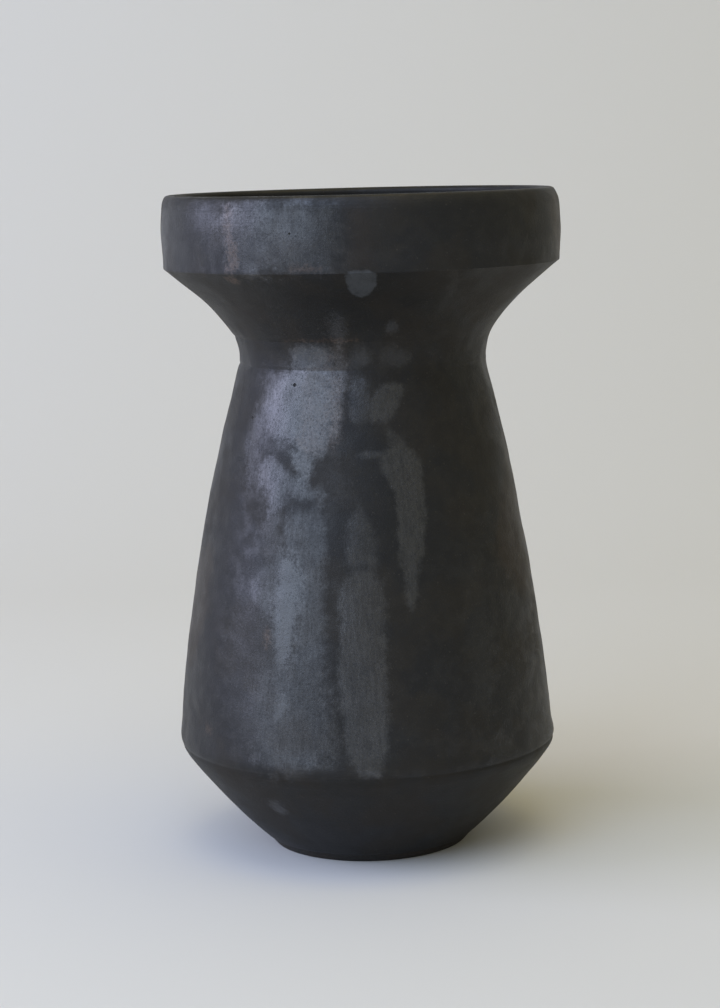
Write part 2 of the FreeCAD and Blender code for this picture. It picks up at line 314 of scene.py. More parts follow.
# the flare, the neck and the lower wall were hardly rubbed and took the smoke: (height, share)
smokyHeights = [(0, 1.0), (54.6, 1.0), (55.6, 0.0), (252, 0.0), (258, 0.35), (268, 0.8), (274, 1.0),
                (301.8, 1.0), (302.6, 0.0), (340, 0.0)]

# each mark: kind, how strong, how many times its corners are rounded off, how soft its edge is
# where that isn't 1, and its outline as (angle, height) corners; later marks lie over earlier ones
shoulderMarks = [
    {"kind": "rubbed", "strength": 0.28, "rounded": 2, "soft": 3.0, "outline": [
        (-50, 246), (-44, 224), (-36, 219), (-28, 217), (-20, 214), (-10, 222), (-8, 252), (-44, 252)]},
    {"kind": "polished", "strength": 0.24, "rounded": 2, "soft": 3.0, "outline": [
        (-46, 240), (-43, 226), (-36, 221), (-30, 221), (-30, 252), (-38, 256)]},
    {"kind": "polished", "strength": 1.6, "rounded": 2, "soft": 1.3, "outline": [
        (-33, 265), (-16, 266), (-13, 254), (-33, 254)]},
    {"kind": "polished", "strength": 1.5, "rounded": 1, "outline": [
        (-33, 253.8), (-14, 253.8), (-14, 252.6), (-33, 252.6)]},
    {"kind": "polished", "strength": 0.66, "rounded": 2, "soft": 1.6, "outline": [
        (-41.5, 236), (-40, 226), (-35, 221.5), (-29, 219.5), (-26, 214), (-24.5, 206), (-26, 199),
        (-21, 197), (-19.5, 203), (-19.5, 209), (-15, 214), (-13, 220), (-12, 232), (-11, 246), (-12, 266),
        (-33, 266), (-33, 256), (-36, 250), (-40, 244)]},
    {"kind": "polished", "strength": 0.5, "rounded": 2, "soft": 3.0, "outline": [
        (-43, 240), (-41, 226), (-35, 220), (-32, 220), (-32, 252), (-37, 250)]},
    {"kind": "polished", "strength": 0.85, "rounded": 2, "soft": 2.0, "outline": [
        (-29, 216), (-21, 214), (-20, 200), (-25, 199)]},
    {"kind": "polished", "strength": 0.55, "rounded": 2, "soft": 2.0, "outline": [
        (-14, 262), (-8, 264), (-7, 244), (-8, 228), (-12, 219), (-15, 216), (-15, 240)]},
    {"kind": "rubbed", "strength": 0.55, "rounded": 2, "soft": 2.0, "outline": [
        (-44, 205), (-40, 211), (-33, 207), (-27, 203), (-21, 197), (-14, 193), (-20, 190), (-28, 194),
        (-36, 190), (-43, 197)]},
    {"kind": "rubbed", "strength": 0.6, "rounded": 2, "soft": 1.5, "outline": [
        (-36, 200), (-31, 199), (-30, 186), (-33, 170), (-36.5, 176)]},
    {"kind": "rubbed", "strength": 0.5, "rounded": 1, "soft": 1.5, "outline": [
        (-24, 178), (-20.5, 177), (-13, 192), (-14.5, 195)]},
    {"kind": "rubbed", "strength": 0.32, "rounded": 2, "soft": 3.0, "outline": [
        (-53, 208), (-45, 208), (-41, 226), (-47, 238), (-54, 224)]},
    {"kind": "rubbed", "strength": 0.28, "rounded": 2, "soft": 3.0, "outline": [
        (-50, 196), (-43, 196), (-44, 205), (-50, 206)]},
    {"kind": "rubbed", "strength": 0.4, "rounded": 1, "soft": 1.5, "outline": [
        (-6, 229), (3, 227), (3.5, 236), (3, 250), (-5, 250)]},
    {"kind": "rubbed", "strength": 0.8, "rounded": 2, "soft": 1.4, "outline": [
        (2.5, 227.5), (12, 228), (14, 235), (18.5, 243), (17, 247), (8, 246), (4.5, 240), (3, 234)]},
    {"kind": "rubbed", "strength": 0.5, "rounded": 1, "outline": [
        (9.5, 227), (14, 222), (18.5, 216), (10, 213)]},
    {"kind": "rubbed", "strength": 0.9, "rounded": 1, "outline": [
        (-2, 213), (8, 214), (17, 217), (17, 215), (9, 211.5), (-2, 211.5)]},
    {"kind": "rubbed", "strength": 0.8, "rounded": 2, "soft": 1.2, "outline": [
        (6.5, 213), (16, 215), (20.5, 213), (23, 203), (23.3, 182), (20, 162), (17.5, 150), (17, 137),
        (14, 137), (14, 152), (12, 166), (13, 188), (9, 200), (7.2, 204)]},
    {"kind": "rubbed", "strength": 0.22, "rounded": 2, "soft": 1.5, "outline": [
        (8, 254), (22, 255), (21, 263), (9, 264)]},
    {"kind": "rubbed", "strength": 0.3, "rounded": 2, "soft": 2.0, "outline": [
        (-6, 254), (2, 254), (2, 264), (-6, 264)]},
]
bellyMarks = [
    {"kind": "rubbed", "strength": 0.2, "rounded": 2, "soft": 5.0, "outline": [
        (-30, 61), (-20, 62), (-24, 160), (-34, 190), (-46, 160), (-50, 110), (-46, 75)]},
    {"kind": "rubbed", "strength": 0.55, "rounded": 2, "soft": 2.5, "outline": [
        (-28, 166), (-28, 184), (-22, 187), (-19, 170), (-21, 160)]},
    {"kind": "rubbed", "strength": 0.62, "rounded": 2, "soft": 4.5, "outline": [
        (-36, 58), (-9, 58), (-11, 100), (-18, 124), (-30, 110), (-40, 92)]},
    {"kind": "rubbed", "strength": 0.42, "rounded": 1, "soft": 2.2, "outline": [
        (-22, 70), (-12.8, 66), (-12.4, 160), (-14, 182), (-18, 190), (-24, 176), (-22, 130)]},
    {"kind": "rubbed", "strength": 0.48, "rounded": 2, "outline": [
        (-40.5, 141), (-39, 153), (-34, 159), (-29, 159), (-29, 143), (-32, 134)]},
    {"kind": "polished", "strength": 0.5, "rounded": 2, "soft": 2.5, "outline": [
        (-30, 166), (-26, 168), (-19.5, 160), (-19, 142), (-21.5, 122), (-25.3, 106), (-29, 117),
        (-31, 138)]},
    {"kind": "polished", "strength": 1.35, "rounded": 2, "soft": 1.2, "outline": [
        (-29.5, 162), (-25, 162), (-22.5, 154), (-22.5, 140), (-24, 124), (-26, 110), (-28.5, 121),
        (-29, 138)]},
    {"kind": "polished", "strength": 0.75, "rounded": 2, "soft": 1.4, "outline": [
        (-28.5, 82), (-25.5, 84), (-24, 97), (-26, 96)]},
    {"kind": "rubbed", "strength": 0.75, "rounded": 1, "soft": 1.5, "outline": [
        (-7, 158), (6.3, 158), (7, 130), (7, 104), (6, 57), (-4, 57), (-7, 84), (-8, 112)]},
    {"kind": "rubbed", "strength": 0.8, "rounded": 1, "soft": 1.3, "outline": [
        (-1.5, 150), (5.5, 152), (6.2, 130), (6, 104), (5, 57), (-2, 57), (-2, 84), (-1, 110)]},
    {"kind": "rubbed", "strength": 0.6, "rounded": 1, "soft": 1.8, "outline": [
        (-5.5, 158), (-6, 168), (-4.5, 182), (-1, 188), (2, 182), (4.5, 168), (5, 158)]},
    {"kind": "rubbed", "strength": 0.12, "rounded": 2, "soft": 3.0, "outline": [
        (33, 84), (44, 88), (45, 150), (38, 172), (33, 140)]},
    {"kind": "rubbed", "strength": 0.15, "rounded": 2, "soft": 2.0, "outline": [
        (37, 60), (50, 61), (48, 72), (38, 70)]},
    {"kind": "rubbed", "strength": 0.35, "rounded": 2, "soft": 2.0, "outline": [
        (-36, 30), (-29, 31), (-31, 38), (-36, 37)]},
]
collarMarks = [
    {"kind": "rubbed", "strength": 0.18, "rounded": 2, "soft": 3.0, "outline": [
        (-84, 336), (-38, 338), (-38, 303), (-84, 303)]},
    {"kind": "rubbed", "strength": 0.3, "rounded": 2, "soft": 3.5, "outline": [
        (-62, 336), (-38, 337), (-37.5, 327), (-46, 325), (-58, 328)]},
    {"kind": "rubbed", "strength": 0.32, "rounded": 2, "soft": 4.0, "outline": [
        (-28, 338), (-8, 337), (-5, 326), (-6, 312), (-8, 303), (-28, 303)]},
    {"kind": "polished", "strength": 0.5, "rounded": 2, "soft": 3.6, "outline": [
        (-41, 337), (-22, 338), (-23, 326), (-24, 312), (-26, 302.5), (-39, 302.5), (-39, 315)]},
    {"kind": "polished", "strength": 0.22, "rounded": 2, "soft": 4.0, "outline": [
        (-24, 337), (-12, 338), (-13, 322), (-16, 308), (-25, 306)]},
    {"kind": "polished", "strength": 0.5, "rounded": 2, "soft": 4.5, "outline": [
        (-33, 326), (-20, 325), (-14, 318), (-22, 309), (-31, 306), (-34, 316)]},
    {"kind": "paleAndHighlight", "strength": 0.9, "rounded": 1, "outline": [
        (-4.2, 303.5), (3.8, 303.5), (4.3, 297), (2.6, 291.5), (-1, 290), (-3.6, 292.5), (-4.6, 298)]},
    {"kind": "rubbed", "strength": 0.4, "rounded": 2, "soft": 2.0, "outline": [
        (-13, 267), (-6, 267), (-7, 283), (-12, 284)]},
    {"kind": "rubbed", "strength": 0.4, "rounded": 2, "outline": [
        (9.5, 271), (14.5, 272), (13, 278), (9, 277)]},
    {"kind": "rubbed", "strength": 0.12, "rounded": 2, "soft": 1.5, "outline": [
        (28, 280), (30, 281), (31, 292), (27, 302), (24, 303), (28, 292)]},
]
colourMarks = [
    # painted highlight on the neck ring's polished patch
    {"kind": "paleAndHighlight", "strength": 0.5, "rounded": 2, "soft": 1.5, "outline": [
        (-31, 264), (-17, 265), (-15, 255), (-31, 255)]},
    {"kind": "copper", "strength": 0.22, "rounded": 2, "soft": 2.5, "outline": [
        (-27, 240), (-24, 262), (-13, 262), (-12, 225), (-17, 212), (-25, 214)]},
    {"kind": "copper", "strength": 0.5, "rounded": 2, "soft": 1.8, "outline": [
        (-40, 336), (-37.5, 336), (-37.5, 325), (-35.5, 314), (-35.5, 303), (-40.5, 303), (-38, 311),
        (-40, 323)]},
    {"kind": "copper", "strength": 0.55, "rounded": 2, "outline": [
        (-42, 301), (-37, 300.5), (-38, 297), (-42, 298)]},
    {"kind": "copper", "strength": 0.35, "rounded": 2, "soft": 1.5, "outline": [
        (-20, 306.5), (-11, 306.5), (-11, 303), (-20, 303)]},
    {"kind": "copper", "strength": 0.45, "rounded": 2, "soft": 1.5, "outline": [
        (-33.5, 128), (-31, 128), (-31, 118), (-33, 118)]},
    {"kind": "copper", "strength": 0.35, "rounded": 2, "soft": 1.5, "outline": [
        (-58, 75), (-54, 73), (-53, 70), (-57, 71)]},
    {"kind": "copper", "strength": 0.35, "rounded": 2, "outline": [
        (-35, 268.6), (-2, 268.6), (-2, 267.2), (-35, 267.2)]},
    {"kind": "copper", "strength": 0.3, "rounded": 2, "soft": 2.0, "outline": [
        (-14, 250), (-8.5, 250), (-9, 226), (-13, 214), (-14, 230)]},
    {"kind": "copper", "strength": 0.3, "rounded": 2, "soft": 1.5, "outline": [
        (-29, 222), (-22, 220), (-22, 214), (-26, 217)]},
    {"kind": "smoke", "strength": 0.8, "rounded": 2, "outline": [
        (-15, 266), (-7, 266), (-6, 240), (-9, 222), (-14, 214), (-13, 232)]},
    {"kind": "smoke", "strength": 0.35, "rounded": 2, "outline": [
        (-5, 335), (3, 335), (2, 318), (3, 304), (-4, 304), (-3, 320)]},
    {"kind": "smoke", "strength": 0.6, "rounded": 2, "outline": [
        (52, 165), (66, 193), (78, 215), (95, 215), (92, 150), (70, 128), (55, 148)]},
    {"kind": "smoke", "strength": 0.75, "rounded": 2, "outline": [
        (66, 338), (90, 338), (90, 304), (70, 304)]},
    {"kind": "smoke", "strength": 0.5, "rounded": 2, "outline": [
        (-62, 170), (-64, 110), (-80, 90), (-88, 150)]},
]

# marks nobody sees from the front are dealt at random: where, how many and how big
strayMarks = [
    {"kind": "rubbed", "count": 20, "heights": (72, 235), "tall": (18, 48), "wide": (3, 9),
     "strength": (0.2, 0.5), "soft": (1.5, 4.0)},
    {"kind": "polished", "count": 5, "heights": (90, 238), "tall": (10, 30), "wide": (3, 8),
     "strength": (0.3, 0.6), "soft": (1.3, 3.0)},
    {"kind": "rubbed", "count": 7, "heights": (310, 330), "tall": (8, 18), "wide": (8, 20),
     "strength": (0.2, 0.4), "soft": (2.5, 5.0)},
    {"kind": "rubbed", "count": 4, "heights": (15, 45), "tall": (4, 9), "wide": (5, 12),
     "strength": (0.1, 0.25), "soft": (2.0, 4.0)},
    {"kind": "copper", "count": 9, "heights": (80, 330), "tall": (4, 14), "wide": (1, 3),
     "strength": (0.2, 0.5), "soft": (1.3, 2.5)},
    {"kind": "smoke", "count": 10, "heights": (60, 330), "tall": (12, 40), "wide": (6, 18),
     "strength": (0.4, 0.8), "soft": (1.0, 2.0)},
]
strayDeal = {
    "angles": (92.0, 268.0),  # from the right flank round the back to the left flank
    "corners": 9,
    "uneven": (0.65, 1.2),  # how near and how far a corner may lie, as a share of the size
    "seed": 7,
}


# uneven rounded patches over the sides and the back
def dealStrayMarks():
    draw = np.random.RandomState(strayDeal["seed"])
    corners = strayDeal["corners"]
    dealt = []
    for lot in strayMarks:
        for _ in range(lot["count"]):
            middle = draw.uniform(*strayDeal["angles"])
            height = draw.uniform(*lot["heights"])
            wide = draw.uniform(*lot["wide"])
            tall = draw.uniform(*lot["tall"])
            outline = []
            for corner in range(corners):
                turn = 2 * math.pi * corner / corners
                reach = draw.uniform(*strayDeal["uneven"])
                across = wide * reach * math.cos(turn)
                up = tall * reach * math.sin(turn)
                outline.append((middle + across, height + up))
            strength = draw.uniform(*lot["strength"])
            soft = draw.uniform(*lot["soft"])
            dealt.append(
                {"kind": lot["kind"], "strength": strength, "rounded": 2, "soft": soft, "outline": outline}
            )
    return dealt


# cut off every corner at a quarter of its sides, as often as asked
def roundedOff(outline, rounds):
    points = np.array(outline, float)
    for _ in range(rounds):
        following = np.roll(points, -1, axis=0)
        points = np.stack([points * 0.75 + following * 0.25, points * 0.25 + following * 0.75], 1)
        points = points.reshape(-1, 2)
    return points


# distance in mm to the outline's edge, plus inside it and minus outside
def depthInside(across, up, points):
    nearest = np.full(across.shape, np.inf)
    inside = np.zeros(across.shape, bool)
    for (x0, y0), (x1, y1) in zip(points, np.roll(points, -1, axis=0)):
        run = np.array([x1 - x0, y1 - y0])
        share = np.clip(((across - x0) * run[0] + (up - y0) * run[1]) / max(run @ run, tiny), 0, 1)
        nearest = np.minimum(nearest, np.hypot(across - x0 - share * run[0], up - y0 - share * run[1]))
        if y0 != y1:
            crossing = x0 + (up - y0) / (y1 - y0) * (x1 - x0)
            inside ^= ((y0 > up) != (y1 > up)) & (across < crossing)
    return np.where(inside, nearest, -nearest)


markKinds = ("rubbed", "polished", "copper", "smoke", "paleAndHighlight")
markReach = 6.0  # mm that an edge is felt on either side
overReach = 1.0  # mm outside an older mark's edge where it stops counting
changeReach = 2.0  # mm on either side of a newer mark's edge over which the strength changes


# for every kind of mark: how deep each point lies inside one, and how strong it is there
def layMarks(turn, height):
    fields = {}
    for kind in markKinds:
        fields[kind] = [np.full(turn.shape, -markReach), np.zeros(turn.shape)]
    for mark in shoulderMarks + bellyMarks + collarMarks + colourMarks + dealStrayMarks():
        edge, strength = fields[mark["kind"]]
        soft = mark.get("soft", 1.0)
        angles = [corner[0] for corner in mark["outline"]]
        levels = [corner[1] for corner in mark["outline"]]
        middle = (min(angles) + max(angles)) / 2
        perDegree = math.radians(1.0) * outsideRadius((min(levels) + max(levels)) / 2)
        away = (turn - middle + 180.0) % 360.0 - 180.0
        reach = markReach * soft
        halfWide = (max(angles) - min(angles)) / 2 + reach / perDegree
        near = (np.abs(away) < halfWide) & (height > min(levels) - reach) & (height < max(levels) + reach)
        if not near.any():
            continue
        flat = [((angle - middle) * perDegree, level) for angle, level in mark["outline"]]
        depth = depthInside(away[near] * perDegree, height[near], roundedOff(flat, mark["rounded"]))
        depth = np.clip(depth / soft, -markReach, markReach)
        # over an older mark the strength changes gradually, elsewhere the deeper mark keeps its own
        over = smooth((edge[near] + overReach) / (2 * overReach))
        inThisMark = smooth((depth + changeReach) / (2 * changeReach))
        share = over * inThisMark + (1.0 - over) * (depth > edge[near])
        strength[near] += (mark["strength"] - strength[near]) * share
        edge[near] = np.maximum(edge[near], depth)
    return fields


# values kept on a mesh's points for its material; points on the axis come last and take the spare one
def keepOnPoints(mesh, name, values, spareValue=0.0):
    missing = len(mesh.vertices) - len(values)
    values = np.append(values, [spareValue] * missing)
    layer = mesh.attributes.new(name, "FLOAT", "POINT")
    layer.data.foreach_set("value", np.asarray(values, np.float32))


# faces between neighbouring rows and the edges of the cut rows; rows on the axis are single points
def joinRows(rows, ringRows, onAxis):
    steps = handwork["turnSteps"]
    start = {number: order * steps for order, number in enumerate(ringRows)}
    tip = {number: len(ringRows) * steps + order for order, number in enumerate(onAxis)}
    faces = []
    sharp = set()
    for number in range(len(rows)):
        following = (number + 1) % len(rows)
        for turn in range(steps):
            beside = (turn + 1) % steps
            if number in start and following in start:
                faces.append((start[number] + turn, start[number] + beside,
                              start[following] + beside, start[following] + turn))
            elif number in start:
                faces.append((start[number] + turn, start[number] + beside, tip[following]))
            elif following in start:
                faces.append((tip[number], start[following] + beside, start[following] + turn))
            if number in start and rows[number][2]:
                sharp.add(tuple(sorted((start[number] + turn, start[number] + beside))))
    return faces, sharp


# turn a node's section into a hand-formed piece that stands for it
def lathe(name, node, material):
    rows = rowsOf(node)
    steps = handwork["turnSteps"]
    turns = np.arange(steps) * (2 * math.pi / steps) - math.pi
    onAxis = [number for number, row in enumerate(rows) if row[0] < tiny]
    ringRows = [number for number in range(len(rows)) if number not in onAxis]
    angle = np.tile(turns, len(ringRows))
    radius = np.repeat([rows[number][0] for number in ringRows], steps)
    height = np.repeat([rows[number][1] for number in ringRows], steps)
    places = handFormed(angle, radius, height)
    for number in onAxis:
        centre = handFormed(np.zeros(1), np.zeros(1), np.array([rows[number][1]]))
        places = np.vstack([places, centre])
    faces, sharp = joinRows(rows, ringRows, onAxis)
    mesh = bpy.data.meshes.new(name)
    mesh.from_pydata((places * mm).tolist(), [], faces)
    mesh.update()
    for edge in mesh.edges:
        if tuple(sorted(edge.vertices)) in sharp:
            edge.use_edge_sharp = True
    mesh.polygons.foreach_set("use_smooth", np.ones(len(mesh.polygons), bool))
    for kind, (edge, strength) in layMarks(np.degrees(angle), height).items():
        keepOnPoints(mesh, kind + "Depth", edge, -markReach)
        keepOnPoints(mesh, kind + "Strength", strength)
    keepOnPoints(mesh, "smoky", between(smokyHeights, height, 1))
    keepOnPoints(mesh, "outside", skinShare(radius, height))
    mesh.materials.append(material)
    piece = bpy.data.objects.new(name, mesh)
    bpy.context.scene.collection.objects.link(piece)
    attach(piece, "root")
    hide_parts(node)
    print("clay pot:", name, "turned,", len(mesh.polygons), "faces")


def addNode(tree, kind, inputs=None, **settings):
    node = tree.nodes.new(kind)
    for name, value in settings.items():
        setattr(node, name, value)
    for name, value in (inputs or {}).items():
        if isinstance(value, bpy.types.NodeSocket):
            tree.links.new(value, node.inputs[name])
        else:
            node.inputs[name].default_value = value
    return node


def sums(tree, operation, first, second=0.0, third=0.0, clamp=False):
    inputs = {0: first, 1: second, 2: third}
    return addNode(tree, "ShaderNodeMath", inputs, operation=operation, use_clamp=clamp).outputs[0]


def times(tree, first, second, clamp=False):
    return sums(tree, "MULTIPLY", first, second, clamp=clamp)


# base + value * amount
def plus(tree, base, value, amount):
    return sums(tree, "MULTIPLY_ADD", value, amount, base)


# eased step from bottom to top while value goes from low to high
def rise(tree, value, low, high, bottom=0.0, top=1.0):
    inputs = {"Value": value, "From Min": low, "From Max": high, "To Min": bottom, "To Max": top}
    return addNode(tree, "ShaderNodeMapRange", inputs, interpolation_type="SMOOTHSTEP").outputs["Result"]


# noise whose grains are about size = (x, y, z) millimetres
def cloud(tree, place, size, detail, roughness, shift=0.0):
    inputs = {"Vector": place, "Scale": tuple(1 / mm / side for side in size), "Location": (shift,) * 3}
    mapping = addNode(tree, "ShaderNodeMapping", inputs)
    inputs = {"Vector": mapping.outputs[0], "Scale": 1.0, "Detail": detail, "Roughness": roughness}
    return addNode(tree, "ShaderNodeTexNoise", inputs).outputs["Fac"]


# cells about size millimetres across
def cellsOf(tree, place, size):
    return addNode(tree, "ShaderNodeTexVoronoi", {"Vector": place, "Scale": 1 / mm / size}).outputs


# a Mix node's colour sockets: share 0 gives the first colour, 1 the second
def blend(tree, share, first, second):
    node = addNode(tree, "ShaderNodeMix", data_type="RGBA")
    for socket, value in ((node.inputs[0], share), (node.inputs[6], first), (node.inputs[7], second)):
        if isinstance(value, bpy.types.NodeSocket):
            tree.links.new(value, socket)
        elif isinstance(value, tuple):
            socket.default_value = (*value, 1.0)
        else:
            socket.default_value = value
    return node.outputs[2]


def keptOn(tree, name):
    return addNode(tree, "ShaderNodeAttribute", attribute_name=name).outputs["Fac"]


# a new material with its node tree, its shader and the place of a point on the object
def newClay(name):
    material = bpy.data.materials.new(name)
    material.use_nodes = True
    tree = material.node_tree
    place = addNode(tree, "ShaderNodeTexCoord").outputs["Object"]
    return material, tree, tree.nodes["Principled BSDF"], place


# relief in millimetres, felt by one of the shader's normals
def addBump(tree, shader, relief, socketName, strength=1.0):
    bump = addNode(tree, "ShaderNodeBump", {"Strength": strength, "Distance": mm, "Height": relief})
    tree.links.new(bump.outputs[0], shader.inputs[socketName])


burnishedFinish = {
    "clay": (0.0145, 0.0147, 0.0158),
    "brownClay": (0.0180, 0.0164, 0.0148),
    "smokyClay": (0.0112, 0.0108, 0.0104),
    "smokyBrown": (0.0165, 0.0140, 0.0114),
    "insideClay": (0.013, 0.0122, 0.011),
    "smoke": (0.030, 0.0215, 0.0155),
    # painted bluish sheen: the colour of the rubbed and polished patches lightened towards a bluish grey
    # that stands in for their reflection
    "paintedSheen": (0.030, 0.036, 0.050),
    "paintedSheenShare": 0.5,
    "copper": (0.095, 0.062, 0.045),
    # pale tone of some marks; over the neck ring's polished patch it is a painted highlight
    "paleAndHighlight": (0.058, 0.062, 0.068),
    "sand": (0.12, 0.105, 0.085),
    "sandShare": 0.15,
    # near black painted shade inside the pinholes
    "hole": (0.003, 0.003, 0.003),
    "roughness": (0.47, 0.59),
    "smokyRoughness": 0.06,  # added where the clay is smoky
    "glossRoughness": -0.12,  # and where it is rubbed
    "coatRoughness": 0.25,
    "coatIor": 1.68,
    "specular": 0.25,
    "groundGloss": (0.02, 0.13),  # gloss of clay that was never rubbed
    "smokyGloss": 0.35,  # shares of that gloss kept by smoky clay and inside the pot
    "insideGloss": 0.3,
    # how uneven the gloss is, from a low spot to a high one
    "strokeGloss": (0.67, 0.96),
    "fineGloss": (0.8, 1.08),
    "fleckGloss": (0.7, 1.0),
    "dabGloss": (0.76, 0.98),
    "sparkle": (0.78, 1.2),
    "pittedGloss": (0.45, 1.0),
    "pitCells": 2.1,  # mm from one pit, speck or hole to the next
    "speckCells": 2.4,
    "holeCells": 9.0,
    # relief in mm
    "grainRelief": 0.075,
    "fleckRelief": 0.11,
    "strokeRelief": 0.03,
    "turningRelief": 0.02,
    "rimTurningRelief": 0.1,  # added above the collar's shoulder
    "rimHeights": (322.0, 333.0),
    "holeRelief": -0.25,
    "pinholeRelief": -0.5,
    "coatBump": 0.75,
}
# noises of the clay: (grain size in mm, detail, roughness, shift)
burnishedNoises = {
    "broad": ((34, 34, 34), 4.0, 0.55, 0.0),
    "mottle": ((7, 7, 7), 4.0, 0.6, 3.0),
    "fleck": ((1.6, 1.6, 1.6), 3.0, 0.6, 5.0),
    "grain": ((0.55, 0.55, 0.55), 2.0, 0.6, 7.0),
    "strokes": ((1.8, 1.8, 22), 3.0, 0.55, 9.0),
    "fineStrokes": ((0.75, 0.75, 4), 2.0, 0.6, 11.0),
    "turning": ((120, 120, 1.3), 2.0, 0.55, 13.0),
    "dabs": ((4.5, 4.5, 6), 4.0, 0.65, 17.0),
    "glint": ((0.9, 0.9, 1.1), 2.0, 0.7, 19.0),
}
ragged = {"mottle": 4.4, "fleck": 3.0}  # mm that the clay's own grain moves a mark's edge
# how much of that each kind of mark takes, and how many mm its edge needs to fade
markEdges = {"rubbed": (1.0, 1.6), "polished": (1.0, 1.6), "copper": (1.0, 1.2), "smoke": (2.0, 5.0),
             "paleAndHighlight": (0.5, 0.7)}
pinholes = [(-30.5, 246.0, 0.8), (-52.0, 229.0, 0.5), (-19.0, 322.0, 0.5)]  # (angle, height, radius)


# ragged-edged mask for every kind of mark
def markMasks(tree, noise):
    wobble = plus(tree, -ragged["mottle"] / 2, noise["mottle"], ragged["mottle"])
    wobble = sums(tree, "ADD", wobble, plus(tree, -ragged["fleck"] / 2, noise["fleck"], ragged["fleck"]))
    masks = {}
    for kind, (share, softness) in markEdges.items():
        edge = sums(tree, "ADD", keptOn(tree, kind + "Depth"), times(tree, wobble, share))
        masks[kind] = times(tree, rise(tree, edge, -softness, softness), keptOn(tree, kind + "Strength"))
    return masks


# point of the outside wall in metres
def onTheWall(angle, height):
    radius = np.array([outsideRadius(height)])
    place = handFormed(np.radians([angle]), radius, np.array([height]))
    return tuple((place[0] * mm).tolist())


# 1 inside the pinholes, 0 elsewhere
def pinholeMask(tree, place):
    mask = 0.0
    for angle, height, size in pinholes:
        inputs = {0: place, 1: onTheWall(angle, height)}
        away = addNode(tree, "ShaderNodeVectorMath", inputs, operation="DISTANCE")
        inHole = rise(tree, away.outputs["Value"], size * 0.7 * mm, size * 1.2 * mm, 1.0, 0.0)
        mask = sums(tree, "ADD", inHole, mask)
    return mask


# strokes of the stone run up the wall and miss the low spots
def strokesOf(tree, noise, finish):
    coarse = rise(tree, noise["strokes"], 0.36, 0.62, *finish["strokeGloss"])
    return times(tree, coarse, rise(tree, noise["fineStrokes"], 0.34, 0.6, *finish["fineGloss"]))


# gloss of the rubbed and the bare clay, as the share of a clear coat
def glossOf(tree, place, noise, masks, stroked, openHoles, finish):
    flecks = rise(tree, noise["fleck"], 0.3, 0.62, *finish["fleckGloss"])
    dabbed = times(tree, flecks, rise(tree, noise["dabs"], 0.36, 0.6, *finish["dabGloss"]))
    gloss = times(tree, masks["rubbed"], stroked)
    gloss = sums(tree, "ADD", gloss, times(tree, masks["polished"], dabbed))
    ground = rise(tree, noise["mottle"], 0.4, 0.65, *finish["groundGloss"])
    ground = times(tree, ground, rise(tree, keptOn(tree, "smoky"), 0.0, 1.0, 1.0, finish["smokyGloss"]))
    gloss = sums(tree, "ADD", gloss, ground)
    sparkle = rise(tree, noise["glint"], 0.34, 0.62, *finish["sparkle"])
    pits = cellsOf(tree, place, finish["pitCells"])["Distance"]
    pitted = rise(tree, pits, 0.14, 0.3, *finish["pittedGloss"])
    gloss = times(tree, gloss, times(tree, pitted, sparkle), clamp=True)
    gloss = times(tree, gloss, rise(tree, keptOn(tree, "outside"), 0.0, 1.0, finish["insideGloss"], 1.0))
    return times(tree, gloss, sums(tree, "SUBTRACT", 1.0, openHoles, clamp=True))


def colourOf(tree, place, noise, masks, stroked, openHoles, finish):
    bands = rise(tree, noise["broad"], 0.44, 0.6)
    smokyColour = blend(tree, bands, finish["smokyClay"], finish["smokyBrown"])
    colour = blend(tree, bands, finish["clay"], finish["brownClay"])
    colour = blend(tree, keptOn(tree, "smoky"), colour, smokyColour)
    colour = blend(tree, keptOn(tree, "outside"), finish["insideClay"], colour)
    colour = blend(tree, masks["smoke"], colour, finish["smoke"])
    # the rubbed and polished patches get a painted bluish sheen in their colour
    paintedSheen = sums(tree, "ADD", masks["rubbed"], masks["polished"], clamp=True)
    paintedSheen = times(tree, paintedSheen, finish["paintedSheenShare"])
    colour = blend(tree, times(tree, paintedSheen, stroked, clamp=True), colour, finish["paintedSheen"])
    copper = times(tree, masks["copper"], rise(tree, noise["fleck"], 0.35, 0.6, 0.35, 1.0))
    colour = blend(tree, copper, colour, finish["copper"])
    # pale marks, and a painted highlight on the neck ring's polished patch
    paleAndHighlight = times(tree, masks["paleAndHighlight"], rise(tree, noise["mottle"], 0.3, 0.6, 0.6, 1.0))
    colour = blend(tree, paleAndHighlight, colour, finish["paleAndHighlight"])
    # sand shows in some of the cells only
    cells = cellsOf(tree, place, finish["speckCells"])
    speck = sums(tree, "LESS_THAN", cells["Distance"], 0.17)
    draw = addNode(tree, "ShaderNodeSeparateColor", {"Color": cells["Color"]}).outputs[0]
    sand = times(tree, times(tree, speck, rise(tree, draw, 0.6, 1.0)), finish["sandShare"])
    colour = blend(tree, sand, colour, finish["sand"])
    # the pinholes are painted near black as painted shade
    return blend(tree, openHoles, colour, finish["hole"])


# sandy grain, stone strokes, turning lines that are stronger near the rim, and holes
def reliefOf(tree, place, noise, openHoles, finish):
    height = addNode(tree, "ShaderNodeSeparateXYZ", {0: place}).outputs["Z"]
    low, high = finish["rimHeights"]
    nearRim = rise(tree, height, low * mm, high * mm)
    relief = times(tree, noise["grain"], finish["grainRelief"])
    relief = plus(tree, relief, noise["fleck"], finish["fleckRelief"])
    relief = plus(tree, relief, noise["fineStrokes"], finish["strokeRelief"])
    turning = plus(tree, finish["turningRelief"], nearRim, finish["rimTurningRelief"])
    relief = plus(tree, relief, noise["turning"], turning)
    hole = sums(tree, "LESS_THAN", cellsOf(tree, place, finish["holeCells"])["Distance"], 0.045)
    relief = plus(tree, relief, hole, finish["holeRelief"])
    return plus(tree, relief, openHoles, finish["pinholeRelief"])


